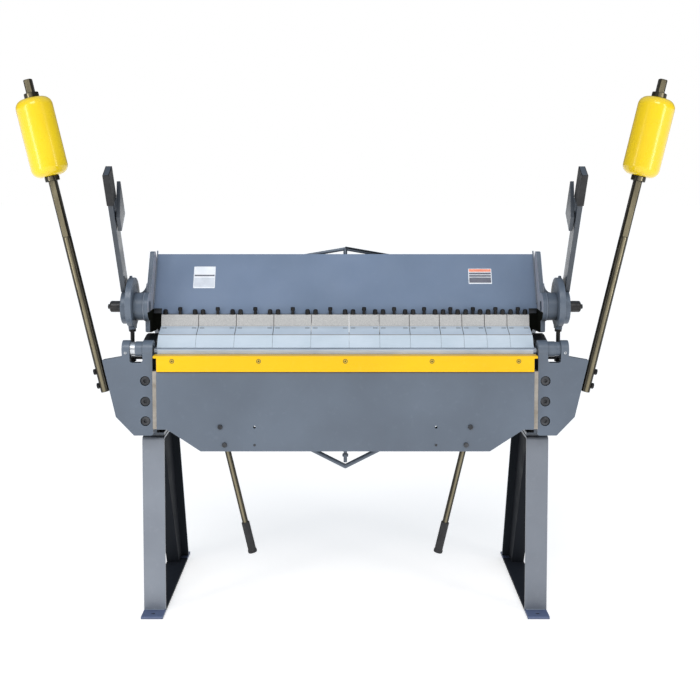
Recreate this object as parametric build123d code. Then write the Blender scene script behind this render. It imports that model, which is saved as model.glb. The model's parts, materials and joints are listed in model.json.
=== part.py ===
from build123d import *
import os
from math import cos, radians, sin, tan

# Box-and-pan sheet metal brake on two welded stands.
# Frame: +Z up, +Y towards the back, +X to the operator's right, millimetres.
# The origin is at floor level, in the middle of the four anchor holes.

os.makedirs("parts", exist_ok=True)

# ---- driving dimensions -------------------------------------------------
BEND_Y = -279.0          # bend line: the axis that the bending leaf turns on
BEND_Z = 895.0
SHEET_GAP = 0.6          # finger foot above the bed when clamped

STAND_IN, STAND_OUT = 603.0, 676.0     # strip of the stand, distance from the middle
STAND_TOP = 596.0
STRIP_T = 8.0
BASE_T = 9.0
BASE_HALF_Y = 314.0
ANCHOR_Y = 285.0
ANCHOR_R = 7.0
LEG_FRONT_Y = -254.0
TOP_BACK_Y = 49.0
LEG_BACK_Y = 279.0
BEND_R = 12.0
BRACE_FRONT_TOP, BRACE_FRONT_LOW = -127.0, 198.0    # front edge of the stand's angle brace
BRACE_IN, BRACE_T = 629.0, 7.0
FRAME_BOLT_X = (616.0, 664.0)
FRAME_BOLT_Y = (-200.0, 0.0)

WEB_IN, WEB_OUT = 629.0, 652.0         # upright side frame of the bed
FLANGE_T = 12.0
PIVOT_Y, PIVOT_Z = 60.0, 900.0         # rear pivot of the clamping beam
PIVOT_R = 14.0
RUN_GAP = 0.05                         # radial clearance of a turning fit

LUG_IN, LUG_OUT = 663.4, 688.0         # hinge lug of the bed
BLOCK_OUT = 700.0
CHEEK_X = (634.0, 678.0)                # raised cheek behind the hinge, under the beam's end
HINGE_R = 25.0
EAR_R = 29.0
PIN_R = 12.0
EAR_IN, SLOT_IN, SLOT_OUT, EAR_OUT = 630.0, 663.0, 704.6, 730.5
SLOT_FLOOR = 853.0
BRACKET_T = 25.0

LEAF_HALF = 615.0                      # bending leaf
LEAF_FRONT, LEAF_BACK = -326.0, -300.0
LEAF_CORNERS = ((581.0, 637.0), (472.0, 565.0))
BAR_TOP, BAR_LEG, BAR_T = 880.0, 52.0, 8.0      # yellow angle bar on the leaf
BAR_HALF, BAR_FLANGE_HALF = 613.0, 624.0
BAR_FRONT = -334.0
BAR_SCREW_X = (0.0, 281.0, 562.0)
BAR_SCREW_Z = 863.0
HANDLE_BOLTS = ((408.0, 646.0), (394.0, 587.0))
SPARE_HOLES = ((296.0, 645.0), (296.0, 586.0))
SEAT_BOLT_X = 655.0                    # socket screws of the hinge bracket
SEAT_BOLT_Z = (793.0, 725.0, 660.0)

SHAFT_Y, SHAFT_Z = -209.0, 1027.0      # clamp shaft on the beam
SHAFT_R = 19.0
SHAFT_END = 786.0
ECCENTRICITY = 14.0
HUB_R = 46.5
DISC_R = 58.0
STRAP_R = 83.0
ECC_R = 60.0
HUB_OUT = 701.7
STRAP_IN, STRAP_OUT = 702.1, 722.0
DISC_IN, DISC_OUT = 722.4, 743.0
END_IN, END_OUT = 654.0, 669.0         # end plate of the beam
LINK_X = 713.0
LINK_R = 7.0
LINK_NUT = 21.0
LINK_END_Z = 838.0

HANDLE_LEAN = 32.0                     # clamp handle, forward from upright
HANDLE_S = 514.0                       # handle's end, along it from the shaft
HANDLE_IN, HANDLE_OUT = 728.0, 744.0
HANDLE_N = (-54.0, -3.0)               # handle's edges, across it from the shaft

ROD_LEAN = 13.2                        # counterweight rod, outward from upright
ROD_X, ROD_Z = 812.0, 861.0            # a point on the rod's axis
ROD_R = 14.5
BAR_SIDE = 26.0
ROD_BOLT_Z = (825.0, 779.0)
WEIGHT_R, WEIGHT_LENGTH = 59.0, 258.0

PANEL_LOW = Vector(-156, 1000)         # face of the beam's panel, as (Y, Z)
PANEL_TOP = Vector(-59, 1193)
PANEL_T = 12.0
PANEL_LIP = 6.0          # the panel's lower edge runs this far down to the fingers
PANEL_NOTCH_X, PANEL_NOTCH_Z = 624.0, 1013.0    # its lower corners are cut away
TRUSS_APEX, TRUSS_BACK = 248.0, 30.0   # middle of the beam's truss rod, up the panel and behind it
TRUSS_SLOPE = 10.5
TRUSS_R = 6.0
BED_TRUSS_Y, BED_TRUSS_LOW = -231.0, 491.0
BED_TRUSS_R = 7.5
FLARE_R = 34.0           # fillet between the hub and the end plate

FINGER_WIDTHS = [127.0] * 5 + [101.6] * 3 + [76.2] * 4
FINGER_GAP = 0.4                       # between noses
FINGER_RELIEF = 0.7                    # side clearance above the nose
FINGER_TOP = 995.0
NOSE_TOP = 936.0
FINGER_SCREW_Y = -166.7
END_BOLT_R, END_BOLT_HIGH = 7.7, 18.0
THUMB_LOW, THUMB_HIGH = 12.0, 25.0
THUMB_R, THUMB_NECK_R = 7.3, 5.2
DASH = (15.0, 3.5, 8.0)                # groove over each end bolt of a finger


# ---- helpers ------------------------------------------------------------
def save(name, *solids):
    shape = solids[0] if len(solids) == 1 else Compound(children=list(solids))
    export_step(shape, f"parts/{name}.step")


def block(x0, x1, y0, y1, z0, z1):
    centre = ((x0 + x1) / 2, (y0 + y1) / 2, (z0 + z1) / 2)
    return Pos(*centre) * Box(x1 - x0, y1 - y0, z1 - z0)


def round_x(radius, x0, x1, y, z):
    return Pos((x0 + x1) / 2, y, z) * Rot(0, 90, 0) * Cylinder(radius, x1 - x0)


def round_y(radius, x, y0, y1, z):
    return Pos(x, (y0 + y1) / 2, z) * Rot(90, 0, 0) * Cylinder(radius, y1 - y0)


def round_z(radius, x, y, z0, z1):
    return Pos(x, y, (z0 + z1) / 2) * Cylinder(radius, z1 - z0)


def between(p, q, radius):
    axis = Vector(*q) - Vector(*p)
    return Solid.make_cylinder(radius, axis.length, Plane(origin=p, z_dir=axis))


def side_solid(outline, x0, x1):
    """A sketch in (Y, Z), as thick as x0 to x1."""
    return extrude(Plane.YZ.offset(x0) * outline, x1 - x0, dir=(1, 0, 0))


def side_prism(points, x0, x1):
    return side_solid(Polygon(*points, align=None), x0, x1)


def front_prism(points, y0, y1):
    """An outline in (X, Z), as thick as y0 to y1."""
    outline = Plane.XZ.offset(-y1) * Polygon(*points, align=None)
    return extrude(outline, y1 - y0, dir=(0, -1, 0))


def hexagon_z(across_flats, height, x, y, z0):
    outline = RegularPolygon(across_flats / 2, 6, major_radius=False)
    return Pos(x, y, z0) * extrude(outline, height)


def left_of(shape):
    return mirror(shape, Plane.YZ)


def save_pair(name, *solids):
    save("right_" + name, *solids)
    save("left_" + name, *[left_of(s) for s in solids])


def save_both(name, *solids):
    save(name, *solids, *[left_of(s) for s in solids])


# ---- stands -------------------------------------------------------------
def stand():
    middle = (STAND_IN + STAND_OUT) / 2
    base = block(STAND_IN, STAND_OUT, -BASE_HALF_Y, BASE_HALF_Y, 0, BASE_T)
    for y in (-ANCHOR_Y, ANCHOR_Y):
        base -= round_z(ANCHOR_R, middle, y, -1, BASE_T + 1)
    base = chamfer(base.edges().group_by(Axis.Z)[-1].filter_by(Axis.X), 2)
    save_both("base_plates", base)

    slope = (LEG_BACK_Y - TOP_BACK_Y) / (STAND_TOP - BASE_T)
    thick_y = STRIP_T * (1 + slope**2) ** 0.5

    def strip_outline(inset, top, radius):
        inner = inset / STRIP_T
        corners = [
            (LEG_FRONT_Y + inset, 0),
            (LEG_FRONT_Y + inset, top),
            (TOP_BACK_Y + slope * (STAND_TOP - top) - inner * thick_y, top),
            (TOP_BACK_Y + slope * STAND_TOP - inner * thick_y, 0),
        ]
        outline = Polygon(*corners, align=None)
        tops = outline.vertices().group_by(Axis.Y)[-1]
        return fillet(tops, radius)

    outer = strip_outline(0, STAND_TOP, BEND_R)
    inner = strip_outline(STRIP_T, STAND_TOP - STRIP_T, BEND_R - STRIP_T)
    strip = side_solid(outer - inner, STAND_IN, STAND_OUT)
    strip -= block(0, 1000, -400, 400, -10, BASE_T)

    front_seam = LEG_FRONT_Y + BEND_R
    back_seam = TOP_BACK_Y - BEND_R
    front_leg = strip & block(0, 1000, -400, front_seam, 0, 700)
    top = strip & block(0, 1000, front_seam, back_seam, 0, 700)
    back_leg = strip & block(0, 1000, back_seam, 400, 0, 700)
    holes = [round_z(6.8, x, y, 500, 700) for x in FRAME_BOLT_X for y in FRAME_BOLT_Y]
    save_both("front_legs", front_leg.solids()[0])
    save_both("stand_tops", (top - holes).solids()[0])
    save_both("rear_legs", back_leg.solids()[0])

    def leg_inside(z):
        return TOP_BACK_Y + slope * (STAND_TOP - z) - thick_y - 0.2

    # The brace is an angle: a gusset to the back leg, with a flange turned outward.
    under = STAND_TOP - STRIP_T
    web = [
        (BRACE_FRONT_TOP, under),
        (back_seam - 14, under),
        (leg_inside(under - 12), under - 12),
        (leg_inside(BASE_T), BASE_T),
        (BRACE_FRONT_LOW, BASE_T),
    ]
    flange = [
        (BRACE_FRONT_TOP, under),
        (BRACE_FRONT_TOP + BRACE_T, under),
        (BRACE_FRONT_LOW + BRACE_T, BASE_T),
        (BRACE_FRONT_LOW, BASE_T),
    ]
    brace = side_prism(web, BRACE_IN, BRACE_IN + BRACE_T) + side_prism(flange, BRACE_IN, STAND_OUT - 1)
    save_both("leg_webs", brace)


def frame_fasteners():
    top = STAND_TOP + FLANGE_T
    bolts = []
    nuts = []
    for x in FRAME_BOLT_X:
        for y in FRAME_BOLT_Y:
            shank = round_z(6, x, y, STAND_TOP - STRIP_T - 16, top)
            bolts.append(shank + hexagon_z(19, 7.5, x, y, top))
            nut = hexagon_z(19, 10, x, y, STAND_TOP - STRIP_T - 10)
            nuts.append(nut - round_z(6.05, x, y, 500, 700))
    save_both("frame_bolts", *bolts, *nuts)


# ---- bed ----------------------------------------------------------------
def bed():
    half = WEB_IN
    front = BEND_Y + 1
    outline = [
        (front, BEND_Z),
        (-110, BEND_Z),
        (-110, BEND_Z - 26),
        (-222, BEND_Z - 34),
        (-240, BEND_Z - 34),
        (front, BEND_Z - 12),
    ]
    save("bed_plate", side_prism(outline, -half, half))
    web = block(-half, half, -240, -222, 640, BEND_Z - 34)
    save("bed_web", web + block(-half, half, -222, -150, 640, 652))

    outline = [
        (-246, STAND_TOP + FLANGE_T),
        (-246, BEND_Z),
        (-20, BEND_Z),
        (34, PIVOT_Z + 30),
        (86, PIVOT_Z + 30),
        (96, PIVOT_Z - 30),
        (45, STAND_TOP + FLANGE_T),
    ]
    web = side_prism(outline, WEB_IN, WEB_OUT)
    flange = block(STAND_IN + 2, STAND_OUT, -240, 34, STAND_TOP, STAND_TOP + FLANGE_T)
    flange -= [round_z(6.8, x, y, 500, 700) for x in FRAME_BOLT_X for y in FRAME_BOLT_Y]
    frame = web + flange - round_x(PIVOT_R, WEB_IN - 1, WEB_OUT + 1, PIVOT_Y, PIVOT_Z)
    save_both("side_frames", frame)

    # The hinge block carries the lug that the leaf turns on.
    lug = round_x(HINGE_R, LUG_IN, LUG_OUT, BEND_Y, BEND_Z)
    neck = [
        (BEND_Y, BEND_Z - HINGE_R),
        (BEND_Y + 8, BEND_Z + HINGE_R - 1.5),
        (-236, BEND_Z),
        (-236, BEND_Z - HINGE_R),
    ]
    lug += side_prism(neck, LUG_IN, LUG_OUT)
    lug += block(WEB_OUT, BLOCK_OUT, -246, -110, BEND_Z - 40, BEND_Z)
    lug -= round_x(PIN_R + RUN_GAP, LUG_IN - 1, LUG_OUT + 1, BEND_Y, BEND_Z)
    cheek = [(-215, BEND_Z), (-205, BEND_Z + 17), (-150, BEND_Z + 29), (-112, BEND_Z + 29), (-112, BEND_Z)]
    lug += side_prism(cheek, *CHEEK_X)
    save_both("hinge_blocks", lug)

    collar = round_x(HINGE_R - 1.5, LUG_OUT, SLOT_OUT - 0.4, BEND_Y, BEND_Z)
    collar -= round_x(PIN_R + RUN_GAP, LUG_OUT - 1, SLOT_OUT + 1, BEND_Y, BEND_Z)
    save_both("hinge_collars", collar)

    pin = round_x(PIVOT_R, WEB_IN - 6, END_OUT + 10, PIVOT_Y, PIVOT_Z)
    pin += round_x(PIVOT_R + 7, END_OUT + 1, END_OUT + 10, PIVOT_Y, PIVOT_Z)
    save_both("beam_pivot_pins", pin)

    # The anchor's slot leaves the link's foot free to swing and shift.
    anchor = block(BLOCK_OUT, 727, -238, -176, 860, 880)
    slot = round_z(LINK_R + 0.8, LINK_X, SHAFT_Y - 6, 850, 890)
    slot += round_z(LINK_R + 0.8, LINK_X, SHAFT_Y + 8, 850, 890)
    slot += block(LINK_X - LINK_R - 0.8, LINK_X + LINK_R + 0.8, SHAFT_Y - 6, SHAFT_Y + 8, 850, 890)
    save_both("link_anchors", anchor - slot)

    apex = (0, BED_TRUSS_Y, BED_TRUSS_LOW)
    arms = between(apex, (292, BED_TRUSS_Y, 639.5), BED_TRUSS_R)
    rod = arms + left_of(arms) + Pos(*apex) * Sphere(BED_TRUSS_R)
    save("bed_truss_rod", rod - block(-400, 400, -260, -200, 640, 700))
    post = round_z(6, 0, BED_TRUSS_Y, BED_TRUSS_LOW + 14, 640)
    post += hexagon_z(18, 10, 0, BED_TRUSS_Y, BED_TRUSS_LOW + 33)
    post -= rod
    save("bed_truss_post", post.solids().sort_by(SortBy.VOLUME)[-1])


# ---- bending leaf -------------------------------------------------------
def bending_leaf():
    (side_x, side_low), (bottom_x, bottom) = LEAF_CORNERS
    outline = [
        (-LEAF_HALF, BAR_TOP - BAR_T),
        (LEAF_HALF, BAR_TOP - BAR_T),
        (LEAF_HALF, side_low),
        (side_x, side_low),
        (bottom_x, bottom),
        (-bottom_x, bottom),
        (-side_x, side_low),
        (-LEAF_HALF, side_low),
    ]
    leaf = front_prism(outline, LEAF_FRONT, LEAF_BACK)
    shelf = BAR_TOP - BAR_LEG - 2
    leaf -= block(-700, 700, LEAF_FRONT - 1, BAR_FRONT + 10, shelf, 1000)
    for x, z in HANDLE_BOLTS + SPARE_HOLES:
        leaf -= round_y(4.2, x, -340, -290, z)
        leaf -= round_y(4.2, -x, -340, -290, z)
    for x in BAR_SCREW_X:
        leaf -= round_y(4.0, x, -340, -290, BAR_SCREW_Z)
        leaf -= round_y(4.0, -x, -340, -290, BAR_SCREW_Z)
    save("bending_leaf", leaf)

    nose = [
        (LEAF_BACK, 826),
        (LEAF_BACK, BAR_TOP - BAR_T),
        (-295, BAR_TOP - BAR_T),
        (-295, BEND_Z),
        (BEND_Y - 1, BEND_Z),
        (BEND_Y - 1, 840),
        (BEND_Y - 7, 826),
    ]
    save("leaf_nose_bar", side_prism(nose, -LEAF_HALF, LEAF_HALF))

    # The yellow angle bar; its top flange is a little wider than its face.
    face = block(-BAR_HALF, BAR_HALF, BAR_FRONT, BAR_FRONT + 10, BAR_TOP - BAR_LEG, BAR_TOP - BAR_T)
    flange = block(-BAR_FLANGE_HALF, BAR_FLANGE_HALF, BAR_FRONT, -295, BAR_TOP - BAR_T, BAR_TOP)
    bar = face + flange
    bar = fillet(bar.edges().filter_by(Axis.X).group_by(Axis.Z)[-1].sort_by(Axis.Y)[0], 3)
    screws = []
    for x in sorted({s * x for x in BAR_SCREW_X for s in (-1, 1)}):
        sink = Pos(x, BAR_FRONT + 2.2, BAR_SCREW_Z) * Rot(90, 0, 0) * Cone(3.9, 8.4, 4.4)
        bar -= sink
        bar -= round_y(4.0, x, -340, -290, BAR_SCREW_Z)
        head = Pos(x, BAR_FRONT + 2.4, BAR_SCREW_Z) * Rot(90, 0, 0) * Cone(3.9, 7.9, 4.0)
        screw = head + round_y(3.9, x, BAR_FRONT + 4.2, LEAF_BACK - 2, BAR_SCREW_Z)
        socket = extrude(RegularPolygon(2.4, 6), 2.5)
        screws.append(screw - Pos(x, BAR_FRONT + 2.6, BAR_SCREW_Z) * Rot(90, 0, 0) * socket)
    save("angle_bar", bar)
    save("angle_bar_screws", *screws)


def hinge_brackets():
    back = BEND_Y
    front = BEND_Y - BRACKET_T
    outline = [
        (EAR_IN, 612),
        (693, 612),
        (752, 674),
        (795, 861.5),
        (EAR_OUT, 873),
        (EAR_OUT, BEND_Z),
        (EAR_IN, BEND_Z),
    ]
    plate = front_prism(outline, front, back)
    corner = plate.edges().filter_by(Axis.Y).group_by(Axis.Z)[0].sort_by(Axis.X)[0]
    plate = fillet(corner, 8)
    plate += round_x(EAR_R, EAR_IN, EAR_OUT, BEND_Y, BEND_Z)
    wide = SLOT_OUT - SLOT_IN
    slot = block(SLOT_IN, SLOT_OUT, -340, -240, SLOT_FLOOR, 940)
    slot = fillet(slot.edges().filter_by(Axis.Y).group_by(Axis.Z)[0], wide / 5)
    plate -= slot
    plate -= round_x(PIN_R + 0.02, EAR_IN - 1, EAR_OUT + 1, BEND_Y, BEND_Z)
    bolts = []
    for z in SEAT_BOLT_Z:
        plate -= round_y(16, SEAT_BOLT_X, front - 1, front + 14, z)
        plate -= round_y(10.2, SEAT_BOLT_X, front, back + 1, z)
        head = round_y(14.2, SEAT_BOLT_X, front + 3, front + 14, z)
        socket = extrude(RegularPolygon(7, 6), 7)
        head -= Pos(SEAT_BOLT_X, front + 10, z) * Rot(90, 0, 0) * socket
        bolts.append(head + round_y(10, SEAT_BOLT_X, front + 14, back + 13, z))
    for z in ROD_BOLT_Z:
        plate -= cross_bolt(z, 5.1, -40, 20)
    save_pair("hinge_bracket", plate)
    save_both("bracket_bolts", *bolts)

    pin = round_x(PIN_R, EAR_IN + 3, EAR_OUT - 1, BEND_Y, BEND_Z)
    save_both("hinge_pins", chamfer(pin.edges(), 1.5))

    # Machined seat behind the bracket; its edge shows beside the leaf.
    seat = block(LEAF_HALF, EAR_IN, -310, back, 635, 826)
    seat += block(598, LEAF_HALF, LEAF_BACK, back, 635, 824)
    seat += block(598, 682, back, back + 14, 635, 824)
    for z in SEAT_BOLT_Z:
        seat -= round_y(10.2, SEAT_BOLT_X, back - 1, back + 20, z)
    save_both("bracket_seats", seat)


# ---- counterweights -----------------------------------------------------
def on_rod(shape):
    """Places a shape made about the local Z axis on the right rod."""
    return Pos(ROD_X, BEND_Y - BRACKET_T / 2, ROD_Z) * Rot(0, ROD_LEAN, 0) * shape


def along_rod(z):
    return (z - ROD_Z) / cos(radians(ROD_LEAN))


def cross_bolt(z, radius, start, end):
    """A round through the rod at height z, start to end outward from its axis."""
    pin = Rot(0, 90, 0) * Cylinder(radius, end - start)
    return on_rod(Pos((start + end) / 2, 0, along_rod(z)) * pin)


def counterweights():
    low = along_rod(756)
    joint = along_rod(1265)
    top = along_rod(1773)
    weight_low = along_rod(1462)
    weight_top = weight_low + WEIGHT_LENGTH
    tube = Pos(0, 0, (low + joint) / 2) * Cylinder(ROD_R, joint - low)
    tube = fillet(tube.edges(), 2)
    bar = Pos(0, 0, (joint + top) / 2) * Box(BAR_SIDE, BAR_SIDE, top - joint)
    bar = chamfer(bar.edges().filter_by(Axis.Z), 5)
    bar = chamfer(bar.faces().sort_by(Axis.Z)[-1].edges(), 2)
    tube = on_rod(tube)
    bar = on_rod(bar)
    bolts = []
    for z in ROD_BOLT_Z:
        tube -= cross_bolt(z, 5.1, -20, 20)
        head_sketch = RegularPolygon(8.5, 6, major_radius=False)
        head = Pos(ROD_R + 0.5, 0, along_rod(z)) * Rot(0, 90, 0) * extrude(head_sketch, 7)
        bolts.append(on_rod(head) + cross_bolt(z, 5.0, -34, ROD_R + 2))
    save_both("counterweight_rods", tube + bar)
    save_both("counterweight_bolts", *bolts)

    hole = Box(BAR_SIDE + 0.4, BAR_SIDE + 0.4, 2000)
    weight = Pos(0, 0, (weight_low + weight_top) / 2) * Cylinder(WEIGHT_R, WEIGHT_LENGTH)
    weight = fillet(weight.edges(), 30) - hole
    save_both("counterweights", on_rod(weight))
    collars = []
    for start in (weight_low - 17, weight_top):
        collar = Pos(0, 0, start + 8.5) * Cylinder(23.5, 17)
        collar = chamfer(collar.edges(), 1.5)
        collars.append(on_rod(collar - hole))
    save_both("counterweight_collars", *collars)


# ---- leaf handles -------------------------------------------------------
def leaf_handles():
    (x0, z0), (x1, z1) = HANDLE_BOLTS
    run = Vector(x1 - x0, 0, z1 - z0).normalized()
    axis_y = LEAF_BACK + 10.3

    def at(s):
        return (x0 + run.X * s, axis_y, z0 + run.Z * s)

    rod = between(at(-32), at(428), 10)
    rod += Plane(origin=at(-32), z_dir=run) * Sphere(10)
    grip = between(at(335), at(430), 13.3)
    grip += between(at(430), at(440), 15)
    grip = fillet(grip.edges().sort_by(Axis.Z)[0], 3)
    grip -= between(at(300), at(428), 10.05)
    bolts = []
    for x, z in HANDLE_BOLTS:
        rod -= round_y(4.2, x, -330, -270, z)
        shank = round_y(4, x, LEAF_FRONT, axis_y + 20, z)
        head = round_y(8, x, LEAF_FRONT - 6, LEAF_FRONT, z)
        head = fillet(head.edges().sort_by(Axis.Y)[0], 2.5)
        nut = round_y(7.5, x, axis_y + 10.3, axis_y + 17, z)
        bolts.append(head + shank + nut)
    save_both("leaf_handles", rod)
    save_both("leaf_grips", grip)
    x, z = SPARE_HOLES[1]
    plug = round_y(4.1, x, LEAF_FRONT + 1, LEAF_BACK, z)
    save_both("leaf_handle_bolts", *bolts, plug)


# ---- clamping beam ------------------------------------------------------
def on_panel(up, back):
    """A (Y, Z) point up along the panel's face and back from it."""
    run = (PANEL_TOP - PANEL_LOW).normalized()
    point = PANEL_LOW + run * up + Vector(run.Y, -run.X) * back
    return (point.X, point.Y)


def beam():
    height = (PANEL_TOP - PANEL_LOW).length
    outline = [
        on_panel(-PANEL_LIP, 0),
        on_panel(height, 0),
        on_panel(height, PANEL_T),
        on_panel(-PANEL_LIP, PANEL_T),
    ]
    panel = side_prism(outline, -END_IN, END_IN)
    for s in (-1, 1):
        panel -= block(*sorted((s * PANEL_NOTCH_X, s * 700)), -300, 100, 900, PANEL_NOTCH_Z)
    panel -= block(-700, 700, -300, 100, 900, FINGER_TOP + 0.3)
    save("beam_panel", panel)

    floor_front = on_panel(20, PANEL_T)[0] + 0.3
    floor = block(-END_IN, END_IN, floor_front, 24, FINGER_TOP, 1012)

    back_low = on_panel(20, PANEL_T)
    back_high = on_panel(105, PANEL_T)
    for x in (-420, -210, 210, 420):
        outline = [(back_low[0] + 0.3, 1012), (back_high[0] + 0.3, back_high[1]), (10, 1012)]
        floor += side_prism(outline, x - 4, x + 4)
    save("beam_floor", floor)

    end_up = TRUSS_APEX - tan(radians(TRUSS_SLOPE)) * END_IN
    apex_y, apex_z = on_panel(TRUSS_APEX, TRUSS_BACK)
    end_y, end_z = on_panel(end_up, TRUSS_BACK)
    arm = between((0, apex_y, apex_z), (END_IN + 3, end_y, end_z), TRUSS_R)
    arm &= block(-1, END_IN, -400, 400, 0, 2000)
    rod = arm + left_of(arm) + Pos(0, apex_y, apex_z) * Sphere(TRUSS_R)
    save("beam_truss_rod", rod)
    foot_y, foot_z = on_panel(24, TRUSS_BACK)
    post = between((0, foot_y, foot_z), (0, apex_y, apex_z), 7)
    post = post - rod - block(-50, 50, -400, 100, 900, 1012)
    save("beam_truss_post", post.solids().sort_by(SortBy.VOLUME)[-1])

    end = [
        (-211, 942),
        (-211, 1022),
        (-112.5, 1204),
        (-86.5, 1204),
        (40, 1000),
        (96, 915),
        (92, 876),
        (40, 870),
        (-60, 930),
        (-180, 936),
    ]
    outline = Polygon(*end, align=None)
    outline = fillet(outline.vertices().group_by(Axis.Y)[-1], 8)
    plate = side_solid(outline, END_IN, END_OUT)
    plate += round_x(HUB_R, END_IN, HUB_OUT, SHAFT_Y, SHAFT_Z)
    flare = block(END_OUT - 2, END_OUT + FLARE_R, -186, -150, SHAFT_Z, SHAFT_Z + HUB_R + 28)
    cut_z = SHAFT_Z + HUB_R - 6 + FLARE_R
    flare -= round_y(FLARE_R, END_OUT + FLARE_R, -200, -140, cut_z)
    flare -= block(END_OUT, 800, -200, -140, cut_z, 1200)
    flare &= block(0, HUB_OUT, -400, 0, 0, 2000)
    plate += flare
    plate -= round_x(SHAFT_R + RUN_GAP, END_IN - 1, HUB_OUT + 1, SHAFT_Y, SHAFT_Z)
    plate -= round_x(PIVOT_R + RUN_GAP, END_IN - 1, END_OUT + 1, PIVOT_Y, PIVOT_Z)
    save_both("beam_ends", plate)


# ---- fingers ------------------------------------------------------------
def fingers():
    foot = BEND_Z + SHEET_GAP
    outline = [
        (-267, foot),
        (-267, foot + 1.5),
        (-238.3, NOSE_TOP),
        (-181, 957),
        (-173.4, FINGER_TOP),
        (-112, FINGER_TOP),
        (-112, 968),
        (-166, 948),
        (-222, foot),
    ]
    left = -sum(FINGER_WIDTHS) / 2
    thumb_screws = []
    end_bolts = []
    for number, width in enumerate(FINGER_WIDTHS, 1):
        x0 = left + FINGER_GAP / 2
        x1 = left + width - FINGER_GAP / 2
        middle = left + width / 2
        finger = side_prism(outline, x0, x1)
        finger -= block(x0 - 1, x0 + FINGER_RELIEF, -300, -100, NOSE_TOP, FINGER_TOP + 1)
        finger -= block(x1 - FINGER_RELIEF, x1 + 1, -300, -100, NOSE_TOP, FINGER_TOP + 1)
        ends = (left + 13.5, left + width - 13.5)
        for x in ends:
            finger -= Pos(x, -193.5, 952.8) * Rot(20, 0, 0) * Box(*DASH)
            finger -= round_z(5, x, FINGER_SCREW_Y, FINGER_TOP - 14, 1100)
            bolt = round_z(END_BOLT_R, x, FINGER_SCREW_Y, FINGER_TOP, FINGER_TOP + END_BOLT_HIGH)
            bolt = fillet(bolt.edges().group_by(Axis.Z)[-1], 5.5)
            end_bolts.append(bolt + round_z(4.9, x, FINGER_SCREW_Y, FINGER_TOP - 13, FINGER_TOP))
        finger -= round_z(THUMB_NECK_R + 0.1, middle, FINGER_SCREW_Y, FINGER_TOP - 14, 1100)
        neck = round_z(THUMB_NECK_R, middle, FINGER_SCREW_Y, FINGER_TOP - 13, FINGER_TOP + THUMB_LOW + 1)
        head = round_z(THUMB_R, middle, FINGER_SCREW_Y, FINGER_TOP + THUMB_LOW, FINGER_TOP + THUMB_HIGH)
        thumb_screws.append(neck + chamfer(head.edges(), 2))
        save(f"finger_{number:02d}", finger)
        left += width
    save("finger_thumb_screws", *thumb_screws)
    save("finger_end_bolts", *end_bolts)


# ---- clamp handles, eccentrics and links --------------------------------
def on_handle(s, n):
    """A (Y, Z) point s along the handle and n in front of its centre line."""
    lean = radians(HANDLE_LEAN)
    y = SHAFT_Y - s * sin(lean) - n * cos(lean)
    z = SHAFT_Z + s * cos(lean) - n * sin(lean)
    return (y, z)


def handle_bar(s0, s1, grow, x0, x1):
    low, high = HANDLE_N[0] - grow, HANDLE_N[1] + grow
    corners = [on_handle(s0, low), on_handle(s1, low), on_handle(s1, high), on_handle(s0, high)]
    return side_prism(corners, x0, x1)


def clamps():
    ecc_z = SHAFT_Z + ECCENTRICITY
    disc = round_x(DISC_R, DISC_IN, DISC_OUT, SHAFT_Y, SHAFT_Z)
    disc = chamfer(disc.edges().sort_by(Axis.X)[-1], 2)
    eccentric = disc + round_x(ECC_R, STRAP_IN, DISC_IN + 0.5, SHAFT_Y, ecc_z)
    shaft = round_x(SHAFT_R, END_IN + 2, SHAFT_END, SHAFT_Y, SHAFT_Z)
    shaft = chamfer(shaft.edges().sort_by(Axis.X)[-1], 4)
    shaft += round_x(8, SHAFT_END - 1, SHAFT_END + 7, SHAFT_Y, SHAFT_Z)
    save_pair("eccentric_shaft", eccentric + shaft)

    bar = handle_bar(20, HANDLE_S, 0, HANDLE_IN, HANDLE_OUT)
    bar -= round_x(DISC_R, HANDLE_IN - 5, HANDLE_OUT + 5, SHAFT_Y, SHAFT_Z)
    bar = bar.solids().sort_by(SortBy.VOLUME)[-1]
    extension = [(-370, 1446), (-303, 1341), (-358, 1286), (-387, 1330), (-382, 1372)]
    bar += side_prism(extension, HANDLE_IN - 15, HANDLE_IN - 2.6) + handle_pad()
    save_pair("clamp_handle", bar)
    grip = handle_bar(HANDLE_S - 113, HANDLE_S - 1, 2.5, HANDLE_IN - 2.5, HANDLE_OUT + 2.5)
    hollow = handle_bar(HANDLE_S - 120, HANDLE_S + 5, 0.02, HANDLE_IN - 0.02, HANDLE_OUT + 0.02)
    save_pair("handle_grip", grip - hollow)

    ring = round_x(STRAP_R, STRAP_IN, STRAP_OUT, SHAFT_Y, ecc_z)
    boss_low = ecc_z - STRAP_R - 6
    boss = [(-238, ecc_z - 60), (-180, ecc_z - 60), (-188, boss_low), (-230, boss_low)]
    ring += side_prism(boss, STRAP_IN, STRAP_OUT)
    ring += round_z(5, LINK_X + 3, SHAFT_Y, ecc_z, ecc_z + STRAP_R + 6)
    ring -= round_x(ECC_R + RUN_GAP, STRAP_IN - 1, STRAP_OUT + 1, SHAFT_Y, ecc_z)
    ring -= round_z(LINK_R, LINK_X, SHAFT_Y, 900, boss_low + 18)
    save_pair("strap", ring)
    rod = round_z(LINK_R, LINK_X, SHAFT_Y, LINK_END_Z, boss_low + 18)
    lock = hexagon_z(LINK_NUT, 9, LINK_X, SHAFT_Y, boss_low - 9)
    foot_low = hexagon_z(LINK_NUT, 10, LINK_X, SHAFT_Y, LINK_END_Z + 5)
    foot_high = hexagon_z(LINK_NUT, 10, LINK_X, SHAFT_Y, 886)
    hole = round_z(LINK_R + 0.02, LINK_X, SHAFT_Y, 800, 1000)
    save_pair("link_rod", rod, lock - hole, foot_low - hole, foot_high - hole)


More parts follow.
